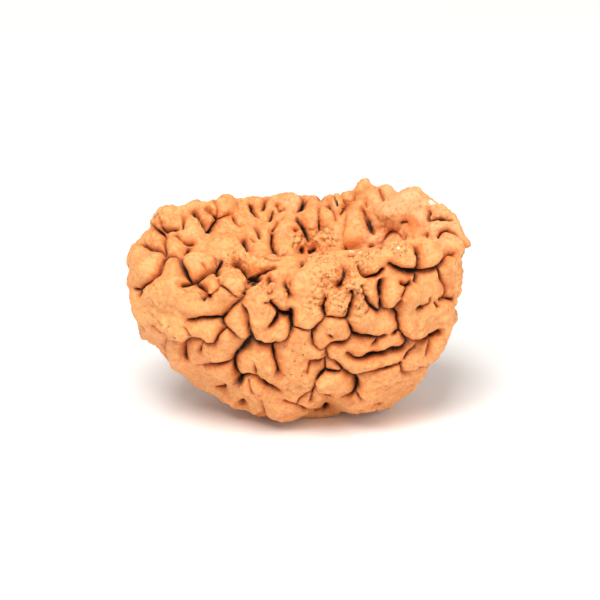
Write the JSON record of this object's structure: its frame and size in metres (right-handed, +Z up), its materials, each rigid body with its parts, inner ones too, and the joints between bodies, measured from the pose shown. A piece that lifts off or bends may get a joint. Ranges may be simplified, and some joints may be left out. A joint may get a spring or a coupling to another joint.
{
  "type": "rudraksha bead",
  "caption": "Half-moon rudraksha bead: one grown stone with a round belly, a trough along its top and lobes divided by deep winding furrows.",
  "frame": {"origin": "middle of the bottom of the bounding box, on the plane of the flat spot that the belly rests on", "axes": "+X along the bead's length, +Y from the near belly face to the back, +Z up from the belly to the trough"},
  "size_m": [0.028, 0.0164, 0.0189],
  "materials": {
    "bead_stone": "dry woody stone, satin on the crowns of the lobes, nearly black in the furrows"
  },
  "bodies": {
    "root": {"bead": "bead_stone"}
  },
  "joints": []
}
